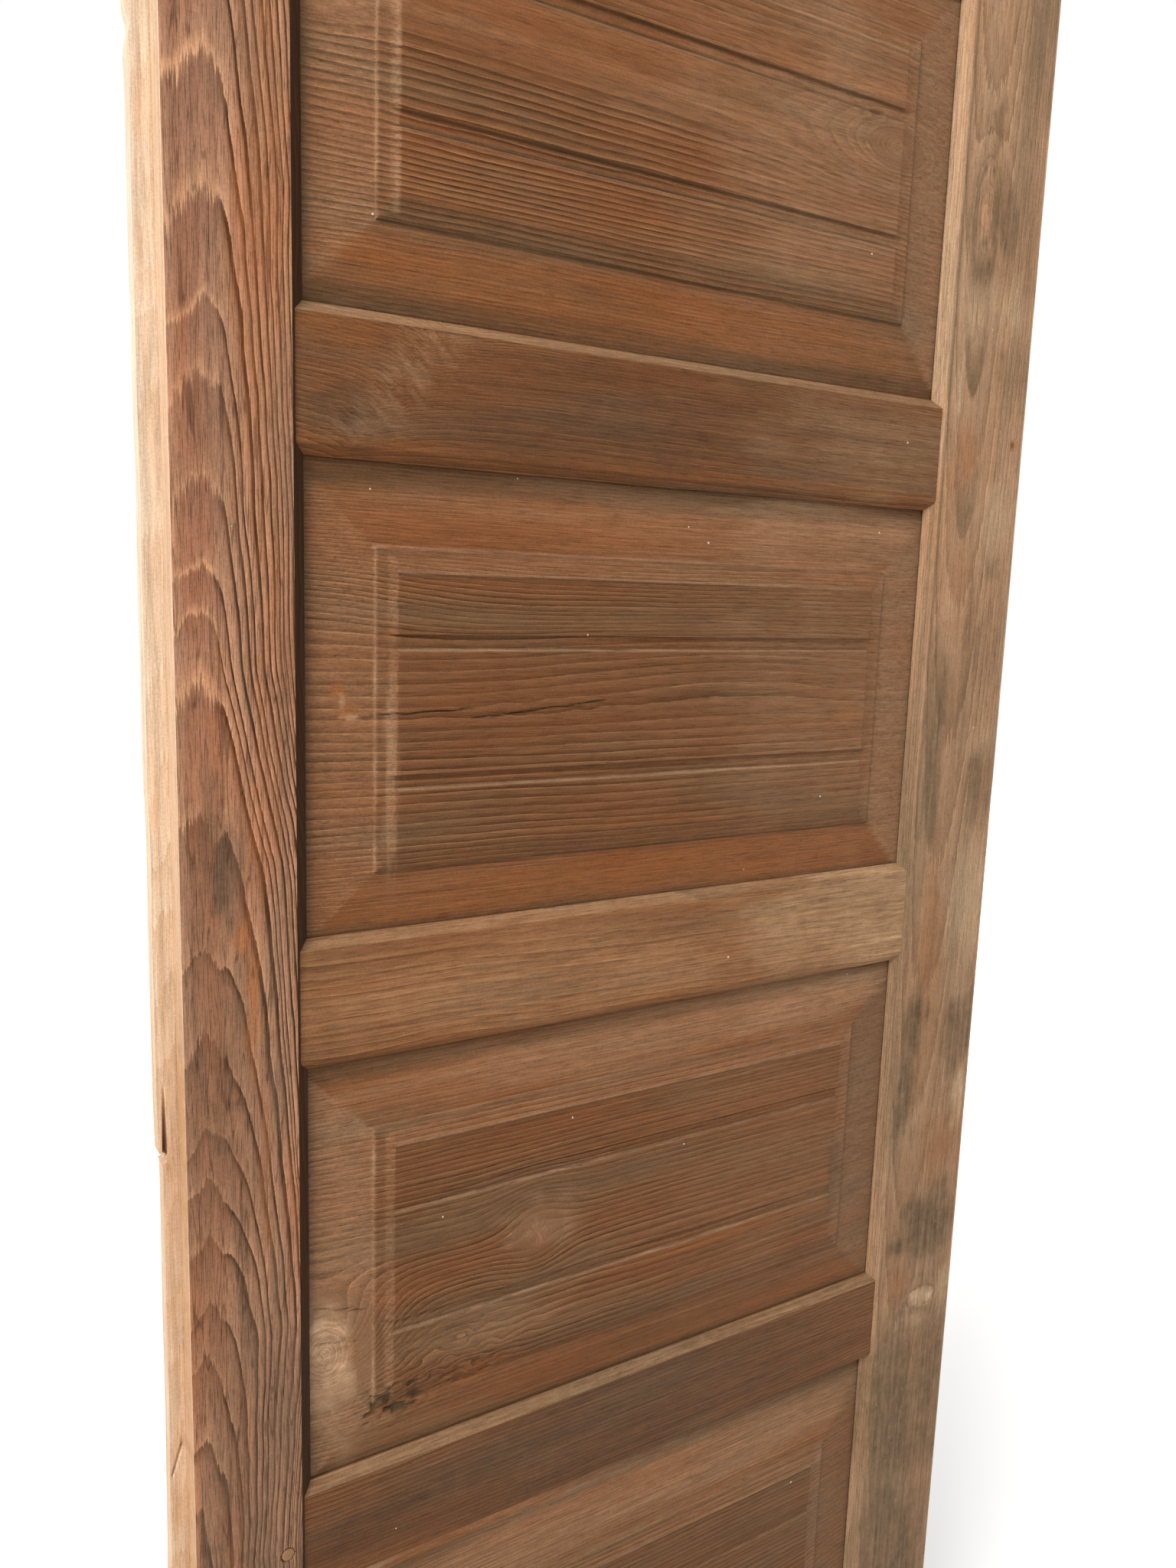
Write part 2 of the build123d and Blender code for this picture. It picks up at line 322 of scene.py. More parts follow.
# Stations lie close at the peg, the check, the split and the chip. Four more close each end.
heights = np.unique(np.concatenate([
    np.linspace(stile_low, stile_high, 256), np.linspace(620, 646, 21), np.linspace(716, 744, 13),
    np.linspace(966, 1036, 41), np.linspace(1708, 1750, 16)]))
end_steps = np.array([0.02, 0.25, 0.5, 0.75])
stations = np.concatenate([np.full(4, stile_low), heights, np.full(4, stile_high)])
flatten = np.concatenate([end_steps, np.ones(len(heights)), end_steps[::-1]])
left_stile, column, face_row, across, deep, zone = lay_sheet("left_stile_board", section, stations)
along = stations[column]
clear = across
# The heart of the tree runs up the board: arches are blunt above, pointed lower down, and low down the heart
# leaves the board, so that the lines are straight.
straight = unit((830 - along) / 190)
heart_line = -387 + 14 * np.clip((along - 1200) / 480, 0, 1.1) - 16 * straight
heart_line = heart_line + 2.5 * drift(along / 170, 0 * along, 3)
aside = clear - heart_line + 1.5 * drift(along / 75, across / 22, 5)
aside = aside + 0.6 * drift(along / 26, across / 9, 15)
off = np.maximum(aside, 0)
pointed = unit((1330 - along) / 140)
blunt_legs = 0.9 * off + 0.125 * off ** 2 + 0.0005 * off ** 3
sharp_legs = 1.5 * off + 0.0012 * off ** 3
legs = (1 - pointed) * blunt_legs + pointed * sharp_legs + 2.6 * straight * off
arch = along - 9 * deep + legs - (1.1 + 0.5 * pointed) * np.minimum(aside, 0)
arch = arch + 6 * drift(along / 40, across / 8, 6) + 9 * drift(along / 55, across / 22, 16)
ring = np.interp(arch, arch_heights, np.arange(len(arch_heights)))
blunt_steepness = 0.9 + 0.25 * off + 0.0015 * off ** 2
sharp_steepness = 1.5 + 0.0036 * off ** 2
steepness = (1 - pointed) * blunt_steepness + pointed * sharp_steepness + 2.6 * straight
arch_spacing = 62
space = arch_spacing / np.sqrt(1 + steepness ** 2)
spots = [
    (0, 1218, -380, 34, 9, 0.6), (0, 1185, -370, 40, 15, 0.85), (1, 1138, -360, 14, 6, 0.7),
    (1, 1085, -353, 40, 5, 0.7), (1, 960, -345, 70, 4, 0.4), (0, 1120, -388, 60, 10, 0.4),
    (0, 850, -385, 60, 14, 0.35), (0, 760, -365, 150, 50, 0.55), (0, 600, -360, 160, 60, 0.55),
    (0, 300, -360, 320, 60, 0.55), (0, 990, -376, 170, 40, 0.55), (0, 1595, -411, 24, 3, 0.5),
    (0, 1520, -409, 30, 3, 0.4), (1, 1680, -410, 40, 3, 0.5), (0, 1380, -410, 60, 3, 0.3),
    (1, 1250, -411, 50, 3, 0.5), (0, 1110, -409, 60, 4, 0.4), (0, 880, -411, 80, 4, 0.3),
    (1, 690, -410, 40, 4, 0.7), (1, 800, -408, 330, 10, 0.4), (1, 1420, -406, 300, 5, 0.14),
    (0, 742, -404, 5, 3, 0.9), (0, 966, -411, 6, 3, 0.9), (1, 1640, -335, 160, 20, 0.25),
    (1, 1480, -345, 90, 16, 0.2), (2, 1450, -398, 380, 2.5, 0.25), (0, 1290, -328, 90, 5, 0.35),
    (2, 1900, -370, 150, 30, 0.1)]
marks = spread_marks(along, across, spots, 40)
marks[:, dirt_and_shade] += np.where(zone == raw_side, 0.5, 0)
marks[zone == back, :crisp] *= back_share
marks[:, crisp] = np.maximum(unit((off - 5) / 9), 0.55 * pointed + 0.4 * straight)
worn = 0.16 * (1 - (ring % 1) ** 1.5)
arris = unit(1 - (across - left_arris) / (1.8 + 0.9 * drift(along / 14, 0 * along, 8)))
inner = unit(1 - (left_inner - across) / (1.4 + 0.7 * drift(along / 20, 0 * along, 9)))
deep = deep + np.where(zone == face, worn + 1.1 * arris ** 2 + 0.5 * inner ** 2, 0)
deep = deep + np.where(zone == slope, 0.7 * worn, 0)
# The lip has a sliver split off above a notch and lost below it, a chip, and a short slanting check.
lip = zone == raw_lip
split_low, split_high, sliver, sliver_lost = 970.0, 1032.0, 5.0, 2.4
chip_height, chip_half = 1728, 17
check_height, check_across, check_half, check_lean = 731, -407.5, 13, 0.3
notch = lip & (across < lip_edge + sliver) & (along > split_low) & (along < split_low + 7)
across = np.where(notch, lip_edge + sliver, across)
opening = unit((split_high - along) / (split_high - split_low)) * (along > split_low + 6)
cleft = unit(1 - np.abs(across - lip_edge - sliver) / 1.3)
deep = deep + np.where(lip & (deep < rebate_depth + 1), 13 * opening * cleft, 0)
across = across - np.where(lip & (across < lip_edge + sliver - 0.3), 1.6 * opening, 0)
lost = sliver_lost * unit((split_low + 2 - along) / 4) * unit((along - 560) / 200)
kept = 1 - lost / (left_arris - lip_edge)
across = np.where(lip, left_arris + (across - left_arris) * kept, across)
chip = unit(1 - np.abs(along - chip_height) / chip_half) ** 0.5
chip = chip * (1.4 + drift(along / 5, 0 * along, 12))
across = np.where(lip, np.maximum(across, lip_edge + 1.2 * chip), across)
check_line = check_across + check_lean * (along - check_height)
check = unit(1 - np.abs(across - check_line) / 1.3) * (np.abs(along - check_height) < check_half)
deep = deep + np.where(lip & (deep < rebate_depth + 1), 2.2 * check, 0)
across = across + np.where(lip, 0.5 * drift(along / 60, 0 * along, 13), 0)
grooved = np.clip((along - groove_low) / groove_end, 0.004, 1)
grooved = grooved * np.clip((groove_high - along) / groove_end, 0.004, 1)
across = np.where((zone == inside) & (across < left_edge), left_edge + (across - left_edge) * grooved, across)
# The peg's hole leaves a dark crescent at its upper right.
peg_across, peg_height, peg_radius = -331.5, 633.0, 5.0
from_peg = np.hypot(across - peg_across, along - peg_height)
deep = deep + np.where((zone == face) & (from_peg < peg_radius + 0.6), 1.6, 0)
left_end_depth = 32
deep = left_end_depth + (deep - left_end_depth) * flatten[column]
# Weathered, stained pine: rosy early wood worn low, nearly black late lines standing proud, and no shine.
stained_stile = pine(
    "stained_pine_left_stile",
    [(0, "#d29d79"), (0.12, "#bf8f6d"), (0.4, "#af8063"), (0.62, "#a37659"), (0.76, "#80593f"),
     (0.83, "#3f2415"), (0.93, "#2b170b"), (1, "#4a2d18")],
    [(0, "#dfa980"), (0.08, "#cb9670"), (0.18, "#ab7c60"), (0.4, "#a2745a"), (0.7, "#966b53"),
     (0.88, "#8b624c"), (0.95, "#a5775b"), (1, "#dfa980")],
    ("#a8623c", "#8d6c55", "#624d3b", "#b46d3c", "#c4a181"), 1.12, (0.68, 0.16), 0.6, 0.4, 1.9, 0.6)
# The same stain, darker here and with painted shade over it, nearly black and even: the bevel beside the
# panels and the inner edge and groove behind it, which face away from the light.
shaded_bevel = pine(
    "stained_pine_shaded_bevel",
    [(0, "#513724"), (0.5, "#422b1b"), (1, "#301d0e")], [(0, "#513724"), (0.5, "#422b1b"), (1, "#301d0e")],
    ("#402716", "#3b2b1c", "#342418", "#52321d", "#614c3c"), 0.9, (0.3, 0.3), 0.3, 0.7)
# Sawn pine without stain: cream to peach, with faint lines.
raw_pine = pine(
    "bare_sawn_pine",
    [(0, "#ead7c0"), (0.3, "#e6d1b8"), (0.55, "#e1c9ad"), (0.85, "#d7b999"), (0.96, "#c6a17d"),
     (1, "#b8926d")],
    [(0, "#ecdecb"), (0.4, "#e6d1b8"), (1, "#d9bd9f")],
    ("#e2bf9c", "#e6d0b8", "#b98d66", "#d6a57a", "#efe1d0"), 0.8, (0.8, 0.8), 0.1, 0.84, 0, 0.88)
left_stile.data.materials.append(stained_stile)
left_stile.data.materials.append(raw_pine)
left_stile.data.materials.append(shaded_bevel)
# The bevel, inner edge and groove take the painted-shade finish; the rebate side and the lip take bare pine.
zone_of_face = section[face_row % len(section), 2]
finish_of_zone = np.array([0, 2, 2, 0, 1, 1], np.int32)
left_stile.data.polygons.foreach_set("material_index", finish_of_zone[zone_of_face.astype(int)])
close_board(left_stile, np.column_stack([across, deep + front, along]),
            {"grain": np.column_stack([along, clear, deep]), "ring": ring, "space": space, "marks": marks,
             "knot": np.zeros(len(along))}, 40)
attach(left_stile, "root")
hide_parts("left_stile")

# Right stile: the hanging upright, wider and paler, with a plain outer edge and no hinges on it.
# It has one knot near its top, tongues of dark wood that point down, and old stains lower down.
right_inner, right_edge, right_outer = 305.0, 295.0, 415.0
nail_across, nail_height = 402, 1543
lump_across, lump_height, lump_wide, lump_tall = 372, 638, 22, 12


def part_round(along, across, knots):
    """Grain parted by knots: where each point would lie across clear wood, and how deep in a knot it is.

    A knot has its middle, its half lengths, its push and the share of it that is core.
    """
    clear = across.copy()
    heart = np.zeros(len(across))
    for at, up, long, wide, push, core in knots:
        away = ((along - at) / long) ** 2 + ((across - up) / wide) ** 2
        clear -= push * (across - up) * np.exp(-away)
        heart = np.maximum(heart, 1 - np.sqrt(away) / core)
    return clear, unit(heart)


def lift_lines(along, across, swells):
    """Grain lines raised or lowered in places: each swell has its middle, its half lengths and its lift."""
    lift = np.zeros(len(along))
    for at, up, long, wide, rise in swells:
        lift += rise * np.exp(-((along - at) / long) ** 2 - ((across - up) / wide) ** 2)
    return lift


section = outline([
    (right_edge, bevel, 1.2, slope), (right_inner, 0, 1.0, face), (right_outer, 0, 5, inside),
    (right_outer, thickness, 6.4, back), (right_edge, thickness, 5, inside),
    (right_edge, groove_back, 7, inside), (right_edge + groove_floor, groove_back, 7, inside),
    (right_edge + groove_floor, groove_front, 7, inside), (right_edge, groove_front, 1, inside)])
heights = np.unique(np.concatenate([
    np.linspace(stile_low, stile_high, 256), np.linspace(1440, 1680, 41), np.linspace(618, 658, 23)]))
stations = np.concatenate([np.full(4, stile_low), heights, np.full(4, stile_high)])
flatten = np.concatenate([end_steps, np.ones(len(heights)), end_steps[::-1]])
right_stile, column, _, across, deep, zone = lay_sheet("right_stile_board", section, stations)
along = stations[column]
clear, heart = part_round(along, across, [
    (1745, 338, 60, 21, 0.75, 0.3), (lump_height, lump_across, 18, 26, 0.4, 1e-4)])
heart_line = 339 + 4 * drift(along / 210, 0 * along, 21)
off = np.abs(clear - heart_line + 1.6 * drift(along / 150, across / 28, 22))
tongue = -along - 7 * deep + 0.3 * off + 0.13 * off ** 2 + 0.001 * off ** 3
tongue = tongue + 5 * drift(along / 60, across / 12, 23)
tongue = tongue + lift_lines(along, across, [(1750, 338, 58, 18, 290), (1742, 337, 20, 9, 120)])
tongue_heights = [2900, 2760, 2620, 2500, 2380, 2250, 2120, 2010, 1900, 1790, 1690, 1583, 1452, 1330,
    1190, 1070, 930, 800, 690, 560, 420, 290, 160, 20, -110, -240, -380, -500, -640, -760, -900, -1050,
    -1200, -1350, -1500, -1650, -1800]
ring = np.interp(tongue, -np.array(tongue_heights), np.arange(len(tongue_heights)))
ring = np.where(zone == slope, (across + 0.8 * drift(along / 130, across / 4, 26)) / 1.9, ring)
spots = [
    (0, 1250, 324, 110, 22, 0.7), (0, 1200, 392, 50, 34, 0.6), (0, 1335, 390, 54, 26, 0.4),
    (0, 958, 328, 52, 19, 1.0), (0, 940, 394, 60, 34, 0.75), (0, 718, 370, 44, 70, 0.9),
    (0, 870, 320, 66, 26, 0.75), (0, 510, 360, 140, 95, 0.78), (0, 220, 360, 220, 100, 0.9),
    (0, 650, 360, 620, 130, 0.3), (0, 1742, 372, 46, 22, 0.6), (0, 1740, 390, 70, 30, 0.3),
    (0, 1770, 352, 22, 9, 0.45), (2, 1078, 394, 70, 26, 0.5), (2, 1584, 320, 34, 4, 0.5),
    (1, 812, 382, 46, 30, 0.6), (2, 866, 404, 28, 12, 0.6), (2, 638, 372, 10, 19, 0.5),
    # Two painted highlights on the hard pale knot, where its dome catches the light; its pale middle is its
    # own colour.
    (2, 641, 361, 6, 6, 0.8), (2, 635, 384, 7, 7, 1.0), (2, 612, 366, 8, 12, 0.3),
    (1, 660, 333, 20, 14, 0.6), (0, 1424, 384, 16, 12, 0.6), (2, 1760, 299, 260, 6, 0.3),
    (1, 1030, 340, 90, 20, 0.5), (1, 1525, 338, 34, 18, 0.5), (2, 640, 405, 26, 10, 0.4),
    (0, 1826, 346, 22, 9, 0.6), (0, 1895, 392, 70, 30, 0.45), (0, 1610, 398, 30, 26, 0.4),
    (0, 1290, 360, 130, 10, 0.45), (0, 1742, 352, 34, 6, 0.7), (0, 1698, 342, 13, 16, 0.75),
    (0, 1735, 324, 30, 4, 0.5), (1, 1742, 337, 11, 6, 0.5), (2, 1742, 337, 8, 4, 0.35),
    (2, 1655, 334, 22, 20, 0.35), (0, 1100, 300, 380, 7, 0.6), (1, 1400, 350, 60, 20, 0.3),
    (2, 1668, 362, 26, 46, 0.3), (2, 1470, 388, 36, 26, 0.3), (2, 1250, 390, 18, 20, 0.2)]
marks = spread_marks(along, across, spots, 60)
arris_line = np.exp(-((across - right_inner - 2) / 2.2) ** 2) * (zone == face)
lay_mark(marks, dirt_and_shade, 0.55 * arris_line)
# Two tongues of dark late wood end bluntly at 1583 and 1452, each with a pale rim below it.
dark_year = np.select([np.floor(ring) == 10, np.floor(ring) == 11], [0.6, 0.5], 0)
tongue_dark = dark_year * unit((ring % 1 - 0.45) / 0.4) * unit(1.7 - off / 14)
lay_mark(marks, dirt_and_shade, np.where(zone == face, tongue_dark, 0))
marks[:, crisp] = np.where(zone == slope, 1, unit((off - 6) / 16))
worn = 0.2 * (1 - (ring % 1) ** 1.5)
outer = unit(1 - (right_outer - across) / (2.2 + 1.1 * drift(along / 16, 0 * along, 24)))
inner = unit(1 - (across - right_inner) / (1.5 + 0.8 * drift(along / 18, 0 * along, 25)))
deep = deep + np.where(zone == face, worn + 1.4 * outer ** 2 + 0.5 * inner ** 2, 0)
deep = deep + np.where(zone == slope, 0.7 * worn, 0)
lay_mark(marks, rub_and_highlight, np.where(zone == face, 0.45 * outer, 0))
# A hard pale knot lies across the grain low down, with a dark open seam round it.
from_lump = np.hypot((along - lump_height) / lump_tall, (across - lump_across) / lump_wide)
seam = np.exp(-((from_lump - 1) / 0.12) ** 2) * (zone == face)
deep = deep + 0.9 * seam
lay_mark(marks, dirt_and_shade, 0.75 * seam)
# A rusty nail hole.
nail = np.hypot(across - nail_across, along - nail_height)
deep = deep + np.where((zone == face) & (nail < 3.2), 1.8, 0)
lay_mark(marks, dirt_and_shade, np.where((zone == face) & (nail < 3.4), 0.5, 0))
lay_mark(marks, glow, np.where((zone == face) & (nail < 5), 0.7, 0))
marks[zone == back, :crisp] *= back_share
grooved = np.clip((along - groove_low) / groove_end, 0.004, 1)
grooved = grooved * np.clip((groove_high - along) / groove_end, 0.004, 1)
across = np.where((zone == inside) & (across > right_edge) & (across < right_outer),
                  right_edge + (across - right_edge) * grooved, across)
right_end_depth = 28
deep = right_end_depth + (deep - right_end_depth) * flatten[column]
# Stained pine bleached by light: tan, with soft brown tongues, grey-brown stains and no shine.
pale_stile = pine(
    "stained_pine_right_stile",
    [(0, "#d1a985"), (0.1, "#c49c79"), (0.3, "#b69070"), (0.5, "#ae8868"), (0.7, "#a88364"),
     (0.85, "#8f6c4e"), (0.95, "#77583d"), (1, "#694b33")],
    [(0, "#dab48f"), (0.1, "#c19b79"), (0.45, "#b18b6b"), (0.75, "#a68162"), (0.92, "#85654a"),
     (1, "#6c4f38")],
    ("#a97a55", "#90765b", "#5c4b36", "#a66c44", "#c9ab88"), 0.66, (0.9, 0.5), 0.5, 0.6)
right_stile.data.materials.append(pale_stile)
close_board(right_stile, np.column_stack([across, deep + front, along]),
            {"grain": np.column_stack([along, clear, deep]), "ring": ring, "marks": marks,
             "knot": heart}, 40)
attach(right_stile, "root")
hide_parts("right_stile")

# Rails: five boards laid level between the stiles, set back 2.4 mm from their faces and coped over
# their bevels, with bevels of their own towards the panels. Blind tenons hold them.
setback = 2.4
reach = bevel - setback
curl_along, curl_across, curl_slant = -245, 1525, 0.85


def count_years(radius, first, width, seed):
    """Growth rings counted outward from the first, each wider or narrower than the mean."""
    widths = width * np.random.default_rng(seed).uniform(0.78, 1.22, 400)
    return np.interp(radius, first + np.cumsum(widths), np.arange(400))


# Stained pine under dust: dark brown, close lines, no shine.
rail_pine = pine(
    "stained_pine_rails",
    [(0, "#3f2511"), (0.1, "#53331c"), (0.25, "#6a452a"), (0.5, "#774d2f"), (0.75, "#7d5335"),
     (0.9, "#8a603d"), (1, "#98704a")],
    [(0, "#6a472c"), (0.3, "#744c2f"), (0.7, "#7d5335"), (1, "#87603f")],
    ("#7a4727", "#6b5542", "#473528", "#98592a", "#b5936f"), 0.9, (0.3, 0.3), 0.8, 0.6)
rail_wood = {
    "bottom_rail": {
        "heart": (95, 34), "lean": 0.012, "width": 4.2, "wave": 3.0, "seed": 101, "curl": 0,
        "spots": [(0, 0, 60, 420, 160, 0.5)]},
    "cross_rail_1": {
        "heart": (700, 30), "lean": 0.0, "width": 3.4, "wave": 2.2, "seed": 111, "curl": 0,
        "spots": [(0, -20, 635, 380, 70, 0.7), (1, -150, 588, 130, 2.5, 0.7), (2, 60, 640, 260, 50, 0.06)]},
    "cross_rail_2": {
        "heart": (1112, 26), "lean": 0.03, "width": 5.0, "wave": 3.6, "seed": 121, "curl": 0,
        "spots": [(2, -60, 1080, 300, 60, 0.26), (1, 0, 1070, 360, 60, 0.35),
            (2, 300, 1075, 190, 90, 0.66), (0, 90, 1100, 110, 12, 0.3)]},
    "cross_rail_3": {
        "heart": (1470, 40), "lean": 0.02, "width": 2.4, "wave": 2.4, "seed": 131, "curl": 1,
        "spots": [(2, 175, 1538, 60, 18, 0.22), (2, 230, 1525, 130, 46, 0.24),
            (0, -280, 1500, 30, 24, 0.5), (0, -100, 1500, 160, 24, 0.5), (0, 60, 1525, 300, 50, 0.42),
            (1, -290, 1555, 40, 16, 0.3), (1, 0, 1485, 340, 5, 0.4)]},
    "top_rail": {
        "heart": (1905, 38), "lean": 0.015, "width": 3.8, "wave": 2.5, "seed": 141, "curl": 0,
        "spots": [(0, 100, 1985, 320, 60, 0.3)]}}
for name, wood in rail_wood.items():
    low_corner, high_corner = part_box(name)
    low = low_corner[2] * 1000
    high = high_corner[2] * 1000
    has_lower = name != "bottom_rail"
    has_upper = name != "top_rail"
    corners = []
    if has_lower:
        corners += [(low, bevel, 1.0, slope), (low + reach, setback, 0.8, face)]
    else:
        corners += [(low, setback, 1.1, face)]
    if has_upper:
        corners += [(high - reach, setback, 1.0, slope), (high, bevel, 1, inside),
                    (high, groove_front, 7, inside), (high - groove_floor, groove_front, 7, inside),
                    (high - groove_floor, groove_back, 7, inside), (high, groove_back, 5, inside)]
    else:
        corners += [(high, setback, 5, inside)]
    corners += [(high, thickness, 6, back), (low, thickness, 5, inside)]
    if has_lower:
        corners += [(low, groove_back, 7, inside), (low + groove_floor, groove_back, 7, inside),
                    (low + groove_floor, groove_front, 7, inside), (low, groove_front, 1, inside)]
    section = outline(corners)
    close = np.linspace(0.02, 0.22, 1 + 50 * wood["curl"])
    shares = np.unique(np.concatenate([np.linspace(0, 1, 111), close]))
    rail, column, _, across, deep, zone = lay_sheet(name + "_board", section, shares)
    cope = np.clip(deep, 0, bevel)
    along = (left_inner + cope) * (1 - shares[column]) + (right_inner - cope) * shares[column]
    seed = wood["seed"]
    heart_height, heart_depth = wood["heart"]
    aside = across - heart_height + wood["lean"] * along
    aside = aside + wood["wave"] * drift(along / 95, across / 60, seed)
    aside = aside + 0.8 * drift(along / 35, across / 12, seed + 1)
    # Curly grain in a slanting band near the left end of one rail: lines dip to it and crinkle in it.
    beside = (along - curl_along - curl_slant * (across - curl_across)) / 1.3
    above_edge = unit((across - low - reach) / 12) * (zone == face)
    curly = wood["curl"] * np.exp(-(beside / 19) ** 2) * above_edge
    dip = np.exp(-np.maximum(beside, 0) / 32) * np.exp(np.minimum(beside, 0) / 26)
    aside = aside + 14 * wood["curl"] * dip + 2.5 * curly * drift(along / 5, across / 7, 135)
    radius = np.hypot(aside, heart_depth - 0.35 * deep)
    ring = count_years(radius, 0, wood["width"], seed + 2)
    marks = spread_marks(along, across, wood["spots"], seed + 3)
    crinkle = drift((along + across) / 5, (along - across) / 15, 136)
    lay_mark(marks, rub_and_highlight, 0.17 * curly * (0.75 + 0.9 * crinkle))
    worn = 0.4 * (1 - (ring % 1) ** 1.5) + curly * (0.4 + 0.7 * crinkle)
    upper = unit(1 - (high - reach - across) / 1.6) if has_upper else 0 * across
    lower = unit(1 - (across - low - reach) / 1.6) if has_lower else 0 * across
    deep = deep + np.where(zone == face, worn + 0.4 * upper ** 2 + 0.4 * lower ** 2, 0)
    deep = deep + np.where(zone == slope, 0.6 * worn, 0)
    # Painted light: the bevels that face up are made lighter, as light from above would make them.
    on_top = (zone == slope) & (across > (low + high) / 2)
    lay_mark(marks, rub_and_highlight, np.where(on_top, 0.35, 0))
    marks[zone == back, :crisp] *= back_share
    rail.data.materials.append(rail_pine)
    close_board(rail, np.column_stack([along, deep + front, across]),
                {"grain": np.column_stack([along, across, deep]), "ring": ring, "marks": marks,
                 "knot": np.zeros(len(along))}, 40)
    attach(rail, "root")
    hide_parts(name)

# Panels: four wide boards that float in the grooves of the frame, free to swell and shrink. Each has a
# sloping margin, a step, a sloping band and a flat field with two flutes cut along it.
margin_depth, step_depth, band_depth, field_depth = 13.07, 6.67, 4.67, 2.17
band_width, flute_width, flute_depth, flute_share = 17.0, 11.0, 2.4, 0.245
rim_width, rim_depth = 7.0, 4.2
side, groove_play, mesh_size, rub_and_highlight_share = 65.0, 0.2, 65000, 0.65


def mesh_lines(stops, gap, crisp):
    """Lines at most a gap apart, with a close pair at every stop so that its edge stays crisp."""
    lines = [stops[0]]
    for low, high in zip(stops, stops[1:]):
        count = max(2, math.ceil((high - low) / gap))
        lines.extend(np.linspace(low + crisp, high - crisp, count))
    lines.append(stops[-1])
    return np.array(lines)


def ridge(away, width):
    """A smooth ridge, one high on its line and gone a few widths away."""
    return np.exp(-(away / width) ** 2)


